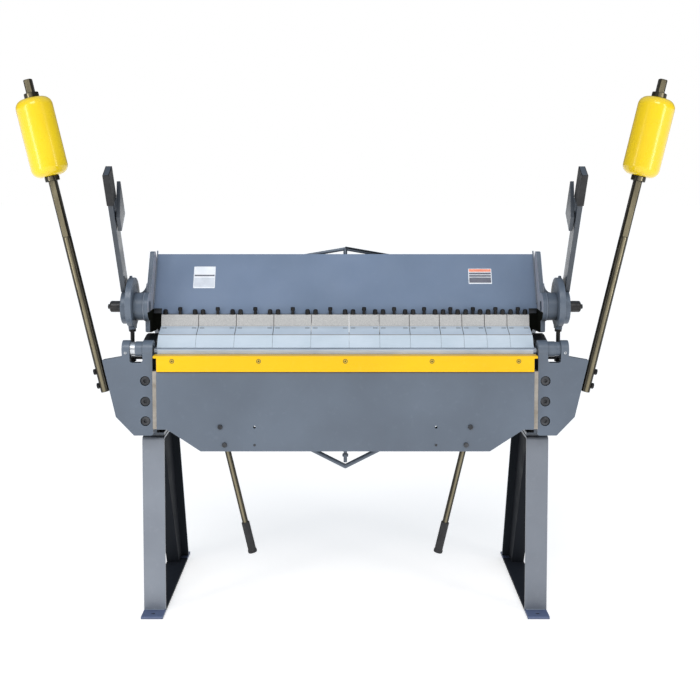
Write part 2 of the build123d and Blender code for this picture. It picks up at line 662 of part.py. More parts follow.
def handle_pad():
    """Welding pad between the handle and the plate beside it."""
    low, high = HANDLE_N[0] + 4, HANDLE_N[1] - 20
    corners = [on_handle(330, low), on_handle(400, low), on_handle(400, high), on_handle(330, high)]
    return side_prism(corners, HANDLE_IN - 2.6, HANDLE_IN)


stand()
frame_fasteners()
bed()
bending_leaf()
hinge_brackets()
counterweights()
leaf_handles()
beam()
fingers()
clamps()
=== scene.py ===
import json
import math

import bmesh
import bpy
from mathutils import Matrix, Vector


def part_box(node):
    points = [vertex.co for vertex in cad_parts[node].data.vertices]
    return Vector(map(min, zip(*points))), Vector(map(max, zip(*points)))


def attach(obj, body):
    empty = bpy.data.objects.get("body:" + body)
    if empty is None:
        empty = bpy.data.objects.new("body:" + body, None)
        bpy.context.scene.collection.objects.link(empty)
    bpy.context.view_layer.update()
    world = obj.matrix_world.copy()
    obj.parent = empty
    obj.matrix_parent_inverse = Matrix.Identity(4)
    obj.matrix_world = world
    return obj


# A floor-standing box-and-pan sheet metal brake: blue-grey enamel, ground steel fingers,
# a yellow angle bar and yellow counterweights on blackened rods.
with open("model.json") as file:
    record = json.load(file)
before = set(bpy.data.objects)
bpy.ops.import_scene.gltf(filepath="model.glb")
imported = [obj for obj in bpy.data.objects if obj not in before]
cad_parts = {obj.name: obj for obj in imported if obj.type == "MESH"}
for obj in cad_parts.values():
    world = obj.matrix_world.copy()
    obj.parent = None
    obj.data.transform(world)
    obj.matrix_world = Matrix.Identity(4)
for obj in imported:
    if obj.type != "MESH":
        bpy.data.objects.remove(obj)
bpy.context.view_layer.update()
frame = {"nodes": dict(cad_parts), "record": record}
nodes = frame["nodes"]
MM = 0.001


# ---------------------------------------------------------------- camera, light and floor

CAMERA_AT = (0.0, -3.770, 1.443)
CAMERA_PITCH = math.radians(3.375)
LENS = 55.02
SHIFT = (0.0067, -0.15)
FRONT_LIGHT, BACK_LIGHT = 0.46, 0.20
TOP_LIGHT = (0.46, 0.54, 0.64, 1)
KEY, STRIP = 0.95, 18
FLOOR_GLOW = 0.52


def add_camera():
    camera = bpy.data.objects.new("camera", bpy.data.cameras.new("camera"))
    bpy.context.scene.collection.objects.link(camera)
    camera.location = CAMERA_AT
    camera.rotation_euler = (math.radians(90) - CAMERA_PITCH, 0, 0)
    camera.data.lens = LENS
    camera.data.shift_x, camera.data.shift_y = SHIFT
    bpy.context.scene.camera = camera


def add_light(name, kind, energy, at, toward, **settings):
    light = bpy.data.lights.new(name, kind)
    light.energy = energy
    for key, value in settings.items():
        setattr(light, key, value)
    lamp = bpy.data.objects.new(name, light)
    bpy.context.scene.collection.objects.link(lamp)
    lamp.location = at
    lamp.rotation_mode = "QUATERNION"
    lamp.rotation_quaternion = (Vector(toward) - Vector(at)).to_track_quat("-Z", "Y")


def add_studio():
    """White all round to the eye; as a light it is bright in front, blue and dimmer overhead, dim behind."""
    world = bpy.data.worlds.new("studio")
    world.use_nodes = True
    bpy.context.scene.world = world
    nodes, link = world.node_tree.nodes, world.node_tree.links.new

    def add(kind, **numbers):
        node = nodes.new(kind)
        for name, value in numbers.items():
            node.inputs[name.replace("_", " ")].default_value = value
        return node

    def ramp(value, low, high, out_low, out_high):
        node = add("ShaderNodeMapRange", From_Min=low, From_Max=high, To_Min=out_low, To_Max=out_high)
        node.interpolation_type = "SMOOTHSTEP"
        link(value, node.inputs["Value"])
        return node.outputs["Result"]

    split = add("ShaderNodeSeparateXYZ")
    link(add("ShaderNodeTexCoord").outputs["Generated"], split.inputs["Vector"])
    front = ramp(split.outputs["Y"], -0.95, 0.35, FRONT_LIGHT, BACK_LIGHT)
    sky = ramp(split.outputs["Z"], 0.25, 0.9, 0.0, 1.0)
    level = nodes.new("ShaderNodeMix")
    level.data_type = "RGBA"
    link(sky, level.inputs[0])
    link(front, level.inputs[6])
    level.inputs[7].default_value = TOP_LIGHT
    seen = nodes.new("ShaderNodeMix")
    seen.data_type = "RGBA"
    link(nodes.new("ShaderNodeLightPath").outputs["Is Camera Ray"], seen.inputs[0])
    link(level.outputs[2], seen.inputs[6])
    seen.inputs[7].default_value = (1, 1, 1, 1)
    link(seen.outputs[2], nodes["Background"].inputs["Color"])
    middle = (0, -0.1, 0.9)
    add_light("key", "SUN", KEY, (-0.35, -3.6, 4.1), middle, angle=math.radians(30))
    strip = {"shape": "RECTANGLE", "size": 0.5, "size_y": 2.4}
    add_light("left_strip", "AREA", STRIP, (-2.6, -2.2, 1.5), middle, **strip)
    add_light("right_strip", "AREA", STRIP, (2.6, -2.2, 1.5), middle, **strip)
    bpy.context.scene.view_settings.view_transform = "Standard"


# ---------------------------------------------------------------- finishes


class Finish:
    """A node material laid out in the object's own metres."""

    def __init__(self, name, metallic=0.0, coat=0.0, coat_roughness=0.08):
        self.material = bpy.data.materials.new(name)
        self.material.use_nodes = True
        self.tree = self.material.node_tree
        self.shader = self.tree.nodes["Principled BSDF"]
        self.shader.inputs["Metallic"].default_value = metallic
        self.shader.inputs["Coat Weight"].default_value = coat
        self.shader.inputs["Coat Roughness"].default_value = coat_roughness
        self.place = self.add("ShaderNodeTexCoord").outputs["Object"]

    def add(self, kind, **settings):
        node = self.tree.nodes.new(kind)
        for key, value in settings.items():
            setattr(node, key, value)
        return node

    def feed(self, socket, value):
        if isinstance(value, bpy.types.NodeSocket):
            self.tree.links.new(value, socket)
        else:
            socket.default_value = value

    def noise(self, size, detail=3.0, stretch=(1, 1, 1)):
        """Random blotches about size metres across, longer along an axis by its stretch."""
        mapping = self.add("ShaderNodeMapping")
        mapping.inputs["Scale"].default_value = [1 / s for s in stretch]
        self.feed(mapping.inputs["Vector"], self.place)
        texture = self.add("ShaderNodeTexNoise")
        texture.inputs["Scale"].default_value = 1 / size
        texture.inputs["Detail"].default_value = detail
        self.feed(texture.inputs["Vector"], mapping.outputs["Vector"])
        return texture.outputs["Fac"]

    def span(self, value, low, high, out_low=0.0, out_high=1.0):
        """Maps low..high to out_low..out_high, held at the ends."""
        node = self.add("ShaderNodeMapRange")
        for name, number in zip(("Value", "From Min", "From Max", "To Min", "To Max"),
                                (value, low, high, out_low, out_high)):
            self.feed(node.inputs[name], number)
        return node.outputs["Result"]

    def math(self, operation, a, b):
        node = self.add("ShaderNodeMath", operation=operation)
        self.feed(node.inputs[0], a)
        self.feed(node.inputs[1], b)
        return node.outputs[0]

    def mix(self, factor, a, b):
        node = self.add("ShaderNodeMix", data_type="RGBA")
        self.feed(node.inputs[0], factor)
        self.feed(node.inputs[6], a)
        self.feed(node.inputs[7], b)
        return node.outputs[2]

    def edges(self, radius):
        """1 along sharp edges, falling to 0 about radius metres from them."""
        rounded = self.add("ShaderNodeBevel", samples=4)
        rounded.inputs["Radius"].default_value = radius
        flat = self.add("ShaderNodeNewGeometry")
        dot = self.add("ShaderNodeVectorMath", operation="DOT_PRODUCT")
        self.feed(dot.inputs[0], rounded.outputs["Normal"])
        self.feed(dot.inputs[1], flat.outputs["Normal"])
        return self.span(dot.outputs["Value"], 0.99, 0.80)

    def shelter(self, distance):
        """1 in the open, falling to 0 in corners and recesses within that distance."""
        node = self.add("ShaderNodeAmbientOcclusion", samples=8)
        node.inputs["Distance"].default_value = distance
        return node.outputs["AO"]

    def along(self, axis, low, high):
        """0 below low, 1 above high, by the place along the axis."""
        split = self.add("ShaderNodeSeparateXYZ")
        self.feed(split.inputs["Vector"], self.place)
        return self.span(split.outputs[axis], low, high)

    def away(self, axis, start, end):
        """0 nearer the middle than start, 1 further out than end, by the distance along the axis."""
        split = self.add("ShaderNodeSeparateXYZ")
        self.feed(split.inputs["Vector"], self.place)
        return self.span(self.math("ABSOLUTE", split.outputs[axis], 0.0), start, end)

    def band(self, axis, low, high):
        """1 between low and high along the axis, 0 outside, with an edge 0.8 mm wide."""
        soft = 0.4 * MM
        start = self.along(axis, low - soft, low + soft)
        return self.math("SUBTRACT", start, self.along(axis, high - soft, high + soft))

    def row_radius(self, pitch, z):
        """Distance in X and Z from the nearest axis of a row that steps by pitch along X at height z."""
        split = self.add("ShaderNodeSeparateXYZ")
        self.feed(split.inputs["Vector"], self.place)
        step = self.math("FLOORED_MODULO", self.math("ADD", split.outputs["X"], pitch / 2), pitch)
        across = self.math("SUBTRACT", step, pitch / 2)
        up = self.math("SUBTRACT", split.outputs["Z"], z)
        squares = self.math("ADD", self.math("MULTIPLY", across, across), self.math("MULTIPLY", up, up))
        return self.math("SQRT", squares, 0.0)

    def facing(self, side):
        """1 on faces turned towards the middle plane ("inward") or the front ("forward"; "front line"
        keeps only the foremost line of a round bar)."""
        turn = self.add("ShaderNodeSeparateXYZ")
        self.feed(turn.inputs["Vector"], self.add("ShaderNodeTexCoord").outputs["Normal"])
        if side == "forward":
            return self.span(turn.outputs["Y"], -0.3, -0.6)
        if side == "front line":
            return self.span(turn.outputs["Y"], -0.90, -0.995)
        split = self.add("ShaderNodeSeparateXYZ")
        self.feed(split.inputs["Vector"], self.place)
        toward = self.math("MULTIPLY", self.math("SIGN", split.outputs["X"], 0.0), turn.outputs["X"])
        return self.span(toward, -0.5, -0.8)

    def bump(self, *layers):
        """Stacks (height, depth in metres) layers."""
        normal = None
        for height, depth in layers:
            node = self.add("ShaderNodeBump")
            node.inputs["Distance"].default_value = depth
            self.feed(node.inputs["Height"], height)
            if normal is not None:
                self.feed(node.inputs["Normal"], normal)
            normal = node.outputs["Normal"]
        self.feed(self.shader.inputs["Normal"], normal)

    def paint_on(self, colour, roughness):
        self.feed(self.shader.inputs["Base Color"], colour)
        self.feed(self.shader.inputs["Roughness"], roughness)
        return self.material


def shade(red, green, blue):
    """A colour given as 0..255 display values, as the linear RGBA that shaders take."""
    def linear(v):
        v /= 255
        return v / 12.92 if v <= 0.04045 else ((v + 0.055) / 1.055) ** 2.4
    return (linear(red), linear(green), linear(blue), 1.0)


def enamel(name, dark, light, worn, deep, coat=0.22, gloss=0.38, shelter=0.22, shine=0.5, dim=None):
    """Sprayed enamel: cloudy tone, orange peel, lighter wear on edges, painted shade in corners and recesses
    (shelter, in metres).
    dim(finish), if given, says how far each place takes a painted shade, 0 to 1."""
    f = Finish(name, coat=coat, coat_roughness=0.14)
    tone = f.mix(f.span(f.noise(0.34, 4), 0.35, 0.65), dark, light)
    speck = f.mix(f.math("MULTIPLY", f.span(f.noise(0.02, 3), 0.6, 0.8), 0.06), tone, worn)
    rub = f.math("MULTIPLY", f.edges(1.8 * MM), f.span(f.noise(0.035, 5), 0.38, 0.68, 0.15, 0.7))
    clean = f.mix(rub, speck, worn)
    # Painted shade: darker towards corners and recesses.
    colour = f.mix(f.span(f.shelter(shelter), 0.12, 0.62), deep, clean)
    f.shader.inputs["Specular IOR Level"].default_value = shine
    if dim is not None:
        # Painted shade: where dim says, the colour goes to deep, with less shine and coat.
        shaded = dim(f)
        colour = f.mix(shaded, colour, deep)
        f.feed(f.shader.inputs["Specular IOR Level"], f.span(shaded, 0, 1, shine, 0.05))
        f.feed(f.shader.inputs["Coat Weight"], f.span(shaded, 0, 1, coat, 0.0))
    roughness = f.span(f.noise(0.09, 4), 0.3, 0.7, gloss - 0.07, gloss + 0.10)
    f.bump((f.noise(2.2 * MM, 1), 0.05 * MM), (f.noise(0.03, 2), 0.2 * MM))
    return f.paint_on(colour, roughness)


def end_plate_enamel(name, tones, worn, deep, lit_pale, floor_at):
    """Enamel of the beam's end plates, with painted shade in recesses; inside, painted shade below the beam's
    floor and a painted highlight, a pale tone, above it.
    """
    f = Finish(name, coat=0.12, coat_roughness=0.14)
    tone = f.mix(f.span(f.noise(0.34, 4), 0.35, 0.65), *tones)
    rub = f.math("MULTIPLY", f.edges(1.8 * MM), f.span(f.noise(0.035, 5), 0.38, 0.68, 0.15, 0.7))
    clean = f.mix(f.span(f.shelter(0.22), 0.12, 0.62), deep, f.mix(rub, tone, worn))
    inside = f.facing("inward")
    # Painted highlight: the inside face above the floor is pale.
    pale = f.mix(f.span(f.noise(0.02, 4), 0.3, 0.7), lit_pale, worn)
    low = f.math("SUBTRACT", 1.0, f.along("Z", floor_at - 1 * MM, floor_at + 1 * MM))
    # Painted shade: the inside face below the floor takes deep, with no shine or coat.
    painted_shade_below = f.math("MULTIPLY", inside, low)
    colour = f.mix(painted_shade_below, f.mix(inside, clean, pale), deep)
    f.feed(f.shader.inputs["Specular IOR Level"], f.span(painted_shade_below, 0, 1, 0.4, 0.0))
    f.feed(f.shader.inputs["Coat Weight"], f.span(painted_shade_below, 0, 1, 0.12, 0.0))
    f.bump((f.noise(2.2 * MM, 1), 0.05 * MM), (f.noise(0.03, 2), 0.2 * MM))
    return f.paint_on(colour, f.span(f.noise(0.09, 4), 0.3, 0.7, 0.36, 0.52))


def ground_steel(name, dark, light, streak, gloss=0.42, metallic=0.35):
    """Ground plate: fine streaks along one axis, faint tarnish, bright edges, painted shade in the grooves.
    """
    f = Finish(name, metallic=metallic)
    lines = f.noise(1.2 * MM, 2, streak)
    cloud = f.noise(0.11, 4)
    blend = f.math("ADD", f.math("MULTIPLY", lines, 0.5), f.math("MULTIPLY", cloud, 0.5))
    tone = f.mix(f.span(blend, 0.36, 0.64), dark, light)
    bright = f.mix(f.math("MULTIPLY", f.edges(1.0 * MM), 0.5), tone, shade(246, 248, 250))
    # Painted shade: darker in grooves and recesses.
    colour = f.mix(f.span(f.shelter(6 * MM), 0.2, 0.7), shade(40, 40, 42), bright)
    roughness = f.span(f.math("ADD", lines, cloud), 0.7, 1.3, gloss - 0.06, gloss + 0.10)
    f.bump((lines, 0.02 * MM), (f.noise(0.05, 2), 0.05 * MM))
    return f.paint_on(colour, roughness)


def finger_steel(name, nose_top, shoulder, dash_at):
    """Ground nose and slope, the slope a lighter, bluer copy of the nose as painted light from above, a beige
    milled face above the shoulder, an oil-stained line at the nose's top and painted shade in the short
    grooves that lie within dash_at, front to back, and in gaps and recesses."""
    f = Finish(name, metallic=0.3)
    lines = f.noise(1.2 * MM, 2, (40, 1, 1))
    cloud = f.noise(0.09, 4)
    blend = f.math("ADD", f.math("MULTIPLY", lines, 0.4), f.math("MULTIPLY", cloud, 0.6))
    # Painted light: the slope, turned further up, is a lighter, bluer copy of the nose's steel.
    slope = f.mix(f.span(blend, 0.36, 0.64), shade(204, 217, 230), shade(218, 229, 240))
    nose = f.mix(f.span(blend, 0.36, 0.64), shade(191, 203, 212), shade(205, 215, 224))
    ground = f.mix(f.along("Z", nose_top - 1 * MM, nose_top), nose, slope)
    pits = f.noise(3.5 * MM, 4)
    milled = f.mix(f.span(pits, 0.35, 0.7), shade(196, 194, 191), shade(174, 173, 171))
    tone = f.mix(f.along("Z", shoulder - 1 * MM, shoulder), ground, milled)
    line = f.math("MULTIPLY", f.band("Z", nose_top - 1.2 * MM, nose_top + 1 * MM), 0.75)
    lined = f.mix(line, tone, shade(140, 126, 108))
    # Painted shade on the front faces of the short grooves.
    dash = f.math("MULTIPLY", f.band("Y", *dash_at), f.facing("forward"))
    marked = f.mix(dash, lined, shade(38, 38, 40))
    # Painted shade in the gaps between fingers and other recesses.
    colour = f.mix(f.span(f.shelter(6 * MM), 0.45, 0.88), shade(24, 24, 26), marked)
    roughness = f.span(f.math("ADD", lines, cloud), 0.7, 1.3, 0.36, 0.5)
    f.bump((lines, 0.02 * MM), (pits, 0.03 * MM))
    return f.paint_on(colour, roughness)


def painted_screw(name, paint, ring, recess, pitch, z):
    """Countersunk screws in a row: a head painted over with the bar, a rim of painted shade and a socket
    filled with painted shade.
    """
    f = Finish(name, coat=0.2, coat_roughness=0.15)
    tone = f.mix(f.span(f.noise(4 * MM, 3), 0.35, 0.7), paint, shade(196, 160, 30))
    radius = f.row_radius(pitch, z)
    # Painted shade: the rim round each head takes ring, the socket takes recess.
    rimmed = f.mix(f.span(radius, 4.6 * MM, 5.6 * MM), tone, ring)
    colour = f.mix(f.span(radius, 2.3 * MM, 3.3 * MM), recess, rimmed)
    f.bump((f.noise(2 * MM, 2), 0.08 * MM))
    return f.paint_on(colour, f.span(f.noise(3 * MM, 2), 0.3, 0.7, 0.3, 0.5))


def shaft_finish(name, paint_tones, start):
    """An enamelled eccentric whose shaft end, past start, is blackened steel."""
    f = Finish(name, metallic=0.25, coat=0.15)
    paint = f.mix(f.span(f.noise(0.1, 4), 0.35, 0.65), *paint_tones)
    black = f.mix(f.span(f.noise(0.015, 4), 0.35, 0.7), shade(24, 24, 26), shade(52, 50, 48))
    part = f.away("X", start, start + 0.5 * MM)
    worn = f.mix(f.math("MULTIPLY", f.edges(1.2 * MM), 0.4), f.mix(part, paint, black), shade(150, 156, 166))
    f.bump((f.noise(2.0 * MM, 2), 0.05 * MM))
    return f.paint_on(worn, f.span(f.noise(0.02, 3), 0.3, 0.7, 0.32, 0.46))


def black_steel(name, base, worn, metallic=0.6, gloss=0.42, grain=(1, 1, 1), streak=None):
    """Blackened steel: greasy uneven tone, the oxide worn thin on edges and, if streak is given, a painted
    highlight along the front.
    """
    f = Finish(name, metallic=metallic)
    patch = f.noise(0.03, 5, grain)
    tone = f.mix(f.span(patch, 0.35, 0.7), base, worn)
    if streak is not None:
        # Painted highlight along the foremost line of a round bar.
        painted_front_highlight = f.math("MULTIPLY", f.facing("front line"), f.span(patch, 0.3, 0.6, 0.6, 1.0))
        tone = f.mix(painted_front_highlight, tone, streak)
    colour = f.mix(f.math("MULTIPLY", f.edges(0.8 * MM), 0.5), tone, shade(120, 118, 115))
    roughness = f.span(f.noise(0.012, 4, grain), 0.3, 0.7, gloss - 0.1, gloss + 0.12)
    f.bump((f.noise(1.5 * MM, 3, grain), 0.05 * MM))
    return f.paint_on(colour, roughness)


def zinc_plate(name):
    """Bright zinc: slightly mottled, pale, with soft reflections."""
    f = Finish(name, metallic=0.9)
    patch = f.noise(0.018, 4)
    tone = f.mix(f.span(patch, 0.3, 0.7), shade(178, 182, 188), shade(216, 219, 223))
    colour = f.mix(f.math("MULTIPLY", f.edges(0.8 * MM), 0.5), tone, shade(252, 252, 252))
    roughness = f.span(f.noise(0.01, 4), 0.3, 0.7, 0.22, 0.42)
    f.bump((f.noise(1.0 * MM, 2), 0.03 * MM))
    return f.paint_on(colour, roughness)


def collar_finish(name, paint_tones):
    """Mottled bright zinc on the left collar; the right one is painted over with the machine."""
    f = Finish(name)
    painted = f.along("X", -0.1, 0.1)
    patch = f.noise(0.018, 4)
    zinc = f.mix(f.span(patch, 0.3, 0.7), shade(184, 188, 193), shade(222, 225, 228))
    paint = f.mix(f.span(patch, 0.3, 0.7), *paint_tones)
    tone = f.mix(painted, zinc, paint)
    colour = f.mix(f.math("MULTIPLY", f.edges(0.8 * MM), 0.4), tone, shade(232, 235, 238))
    f.feed(f.shader.inputs["Metallic"], f.span(painted, 0, 1, 0.85, 0.0))
    f.bump((f.noise(1.0 * MM, 2), 0.03 * MM))
    return f.paint_on(colour, f.span(f.noise(0.01, 4), 0.3, 0.7, 0.24, 0.44))


def milled_steel(name):
    """Bare milled strip: warm beige steel with short cutter marks and a little brown bloom."""
    f = Finish(name, metallic=0.55)
    marks = f.noise(1.6 * MM, 2, (6, 6, 1))
    bloom = f.noise(0.025, 5)
    tone = f.mix(f.span(bloom, 0.35, 0.7), shade(172, 165, 155), shade(142, 132, 118))
    colour = f.mix(f.math("MULTIPLY", marks, 0.3), tone, shade(202, 196, 188))
    roughness = f.span(bloom, 0.3, 0.7, 0.32, 0.5)
    f.bump((marks, 0.05 * MM))
    return f.paint_on(colour, roughness)


def moulded_rubber(name):
    """Satin moulded rubber: fine grain, grey bloom where hands rub it."""
    f = Finish(name)
    bloom = f.noise(0.03, 4)
    tone = f.mix(f.span(bloom, 0.35, 0.75), shade(18, 18, 20), shade(36, 36, 38))
    colour = f.mix(f.math("MULTIPLY", f.edges(1.5 * MM), 0.5), tone, shade(78, 78, 80))
    roughness = f.span(f.noise(8 * MM, 3), 0.3, 0.7, 0.42, 0.62)
    f.bump((f.noise(1.1 * MM, 2), 0.12 * MM))
    return f.paint_on(colour, roughness)


def printed_sheet(name, base, tint):
    """A blank printed plate: smooth lacquer with a trace of yellowing."""
    f = Finish(name, coat=0.5, coat_roughness=0.12)
    tone = f.mix(f.span(f.noise(0.03, 3), 0.35, 0.7), base, tint)
    colour = f.mix(f.math("MULTIPLY", f.edges(0.6 * MM), 0.35), tone, shade(150, 150, 150))
    roughness = f.span(f.noise(0.01, 3), 0.3, 0.7, 0.3, 0.45)
    f.bump((f.noise(2.5 * MM, 2), 0.03 * MM))
    return f.paint_on(colour, roughness)


PAINT_TONES = shade(86, 96, 109), shade(96, 107, 121)
# PANEL_TONES is a lighter, bluer copy of the enamel: painted reflection of the blue light from above on the
# leaning panel.
PANEL_TONES = shade(106, 122, 144), shade(115, 131, 155)
# STAND_TONES is a lighter copy of the enamel: painted light on the stands.
STAND_TONES = shade(119, 125, 135), shade(133, 139, 149)
BASE_TONES = shade(78, 90, 122), shade(90, 103, 136)
HANDLE_TONES = shade(52, 58, 66), shade(64, 71, 80)
WORN_PAINT = shade(152, 162, 176)
# DEEP is the colour of painted shade in recesses and shaded places.
DEEP = shade(24, 27, 31)

# Where a finish changes, on the frame's own pieces.
BEAM_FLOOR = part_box("beam_floor")[0].z + 17 * MM
LEG_GAP = -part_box("front_legs")[0].y - 14 * MM
CHEEK_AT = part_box("hinge_blocks")[0].y + 78 * MM
FINGER_LOW, FINGER_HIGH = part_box("finger_01")
NOSE_TOP, SHOULDER = FINGER_HIGH.z - 59 * MM, FINGER_HIGH.z - 38 * MM
DASHES = (FINGER_LOW.y + 71 * MM, FINGER_LOW.y + 79 * MM)
SCREW_PITCH = 281 * MM
SCREW_LEVEL = (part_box("angle_bar_screws")[0].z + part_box("angle_bar_screws")[1].z) / 2
SHAFT_LOW, SHAFT_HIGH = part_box("right_eccentric_shaft")
DISC_RADIUS, HUB_RADIUS = 58 * MM, 46.5 * MM
SHAFT_AT = Vector((0, (SHAFT_LOW.y + SHAFT_HIGH.y) / 2, SHAFT_LOW.z + DISC_RADIUS))
SHAFT_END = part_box("right_clamp_handle")[1].x - 1 * MM

PAINT = enamel("blue_grey_enamel", *PAINT_TONES, WORN_PAINT, DEEP)
# Painted reflection: the panel's enamel uses PANEL_TONES.
PANEL_PAINT = enamel("panel_enamel", *PANEL_TONES, WORN_PAINT, DEEP, coat=0.0, gloss=0.60, shine=0.35)
# Painted shade on the leg webs' faces that turn forward or inward.
SHADED_PAINT = enamel("shaded_enamel", *PAINT_TONES, WORN_PAINT, shade(31, 34, 39),
                      coat=0.1, gloss=0.6, shine=0.3,
                      dim=lambda f: f.math("MAXIMUM", f.facing("forward"), f.facing("inward")))
# Painted shade on the rear legs' forward faces, inside the stands.
REAR_PAINT = enamel("rear_leg_enamel", *PAINT_TONES, WORN_PAINT, shade(34, 38, 43),
                    dim=lambda f: f.facing("forward"))
# Painted shade inside the end plates below the beam's floor, and a painted highlight, a pale tone, inside
# above it.
END_PAINT = end_plate_enamel("beam_end_enamel", PAINT_TONES, WORN_PAINT, shade(24, 25, 21),
                             shade(176, 172, 178), BEAM_FLOOR)
# Painted shade on the hinge blocks from CHEEK_AT back, under the beam.
HINGE_PAINT = enamel("hinge_block_enamel", *PAINT_TONES, WORN_PAINT, shade(28, 30, 32),
                     dim=lambda f: f.along("Y", CHEEK_AT, CHEEK_AT + 6 * MM))
HANDLE_PAINT = enamel("handle_enamel", *HANDLE_TONES, WORN_PAINT, DEEP, coat=0.3, gloss=0.3)
# Painted light and shade: lighter stand tones, and the right stand a little darker, going a fifth of the way
# to DEEP.
STAND_PAINT = enamel("stand_enamel", *STAND_TONES, shade(190, 196, 206), DEEP,
                     dim=lambda f: f.math("MULTIPLY", f.along("X", -0.3, 0.3), 0.20))
# Painted shade on the base plates between the front and rear legs.
BASE_PAINT = enamel("base_enamel", *BASE_TONES, shade(150, 160, 182), shade(38, 41, 47),
                    coat=0.1, gloss=0.45,
                    dim=lambda f: f.math("SUBTRACT", 1.0, f.away("Y", LEG_GAP, LEG_GAP + 4 * MM)))
YELLOW = enamel("bar_yellow_enamel", shade(244, 188, 0), shade(250, 198, 1), shade(255, 232, 110),
                shade(120, 92, 8), coat=0.1, gloss=0.36, shelter=0.03, shine=0.3)
WEIGHT_YELLOW = enamel("weight_yellow_enamel", shade(246, 208, 6), shade(252, 217, 12), shade(255, 236, 120),
                       shade(150, 110, 10), coat=0.5, gloss=0.26, shelter=0.03)
BOLT = black_steel("bolt_steel", shade(52, 53, 56), shade(82, 83, 86), metallic=0.6, gloss=0.4)
FINGER = finger_steel("finger_steel", NOSE_TOP, SHOULDER, DASHES)
GROUND = ground_steel("ground_steel", shade(176, 186, 200), shade(206, 214, 226), streak=(40, 1, 1))
LIP = ground_steel("nose_steel", shade(178, 190, 206), shade(206, 216, 230), streak=(60, 1, 1))
MILLED = milled_steel("milled_steel")
ZINC = zinc_plate("bright_zinc")
COLLAR = collar_finish("hinge_collar", PAINT_TONES)
BLACK = black_steel("black_oxide", shade(22, 22, 24), shade(44, 43, 42))
# The rods' streak colour is a painted highlight along their foremost line.
ROD = black_steel("blackened_rod", shade(44, 42, 37), shade(70, 66, 55), metallic=0.8, gloss=0.26,
                  grain=(1, 1, 6), streak=shade(142, 133, 108))
RUBBER = moulded_rubber("moulded_rubber")
# The screws' ring and recess colours are painted shade.
SCREW = painted_screw("painted_screw", shade(236, 192, 24), shade(128, 108, 22), shade(34, 28, 12),
                      SCREW_PITCH, SCREW_LEVEL)
WELD = enamel("weld_enamel", shade(104, 113, 126), shade(122, 131, 144), shade(168, 175, 186), DEEP,
              coat=0.2, gloss=0.35)
WHITE_PRINT = printed_sheet("white_print", shade(226, 229, 233), shade(214, 219, 226))
GREY_PRINT = printed_sheet("grey_print", shade(196, 202, 212), shade(184, 190, 200))
NAVY_PRINT = printed_sheet("navy_print", shade(34, 36, 62), shade(44, 46, 74))
ORANGE_PRINT = printed_sheet("orange_print", shade(232, 110, 66), shade(240, 128, 84))
SHAFT = shaft_finish("eccentric_shaft", PAINT_TONES, SHAFT_END)

SLOT_FINISH = {
    "frame_paint": PAINT, "machined_steel": GROUND, "raw_steel": MILLED, "zinc": ZINC,
    "black_oxide": BLACK, "dark_rod": ROD, "yellow_paint": YELLOW, "grip_rubber": RUBBER,
}
NODE_FINISH = {
    "leaf_nose_bar": LIP, "angle_bar_screws": SCREW, "hinge_collars": COLLAR,
    "hinge_blocks": HINGE_PAINT,
    "front_legs": STAND_PAINT, "base_plates": BASE_PAINT, "leg_webs": SHADED_PAINT, "rear_legs": REAR_PAINT,
    "beam_ends": END_PAINT, "beam_panel": PANEL_PAINT, "counterweights": WEIGHT_YELLOW,
    "left_clamp_handle": HANDLE_PAINT, "right_clamp_handle": HANDLE_PAINT,
    "bracket_bolts": BOLT, "leaf_handle_bolts": BOLT,
    "left_eccentric_shaft": SHAFT, "right_eccentric_shaft": SHAFT,
    **{name: FINGER for name in nodes if name.startswith("finger_") and name[-1].isdigit()},
}

# Rounding of outer edges in millimetres, and the sharpest angle in degrees that stays unrounded.
ROUNDING = {
    "frame_paint": 1.2, "machined_steel": 0.4, "raw_steel": 0.6, "zinc": 0.5,
    "black_oxide": 0.4, "dark_rod": 0.6, "yellow_paint": 1.4, "grip_rubber": 1.4,
}
FINE_ROUNDING = {"beam_ends": 0.3}
SOFTEN_FROM = {"machined_steel": 12}
USUAL_SOFTEN_FROM = 38


def finish_nodes():
    """Gives each CAD node its finish and softly rounded outer edges."""
    slot_of = {part["node"]: part["material_slot"] for part in frame["record"]["subparts"]}
    for name, node in nodes.items():
        material = NODE_FINISH.get(name, SLOT_FINISH[slot_of[name]])
        for place in node.material_slots:
            place.material = material
        weld = node.modifiers.new("weld", "WELD")
        weld.merge_threshold = 0.005 * MM
        flatten = node.modifiers.new("flatten", "DECIMATE")
        flatten.decimate_type = "DISSOLVE"
        flatten.angle_limit = math.radians(0.4)
        soften = node.modifiers.new("soften", "BEVEL")
        soften.width = FINE_ROUNDING.get(name, ROUNDING[slot_of[name]]) * MM
        soften.segments = 2
        soften.limit_method = "ANGLE"
        soften.angle_limit = math.radians(SOFTEN_FROM.get(slot_of[name], USUAL_SOFTEN_FROM))
        soften.use_clamp_overlap = False
        smooth = node.modifiers.new("smooth", "WEIGHTED_NORMAL")
        smooth.weight = 60


# ---------------------------------------------------------------- pieces added to the frame


def new_piece(name, work, materials, body):
    """Turns a bmesh into a piece that rides on a CAD body."""
    bmesh.ops.recalc_face_normals(work, faces=work.faces)
    mesh = bpy.data.meshes.new(name)
    work.to_mesh(mesh)
    work.free()
    for material in materials:
        mesh.materials.append(material)
    piece = bpy.data.objects.new(name, mesh)
    bpy.context.scene.collection.objects.link(piece)
    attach(piece, body)
    return piece


def both_sides(x):
    return (-x, x)


def seam(start, end, step):
    """Points along a straight seam."""
    start, end = Vector(start), Vector(end)
    count = max(3, round((end - start).length / step))
    return [start.lerp(end, k / count) for k in range(count + 1)]


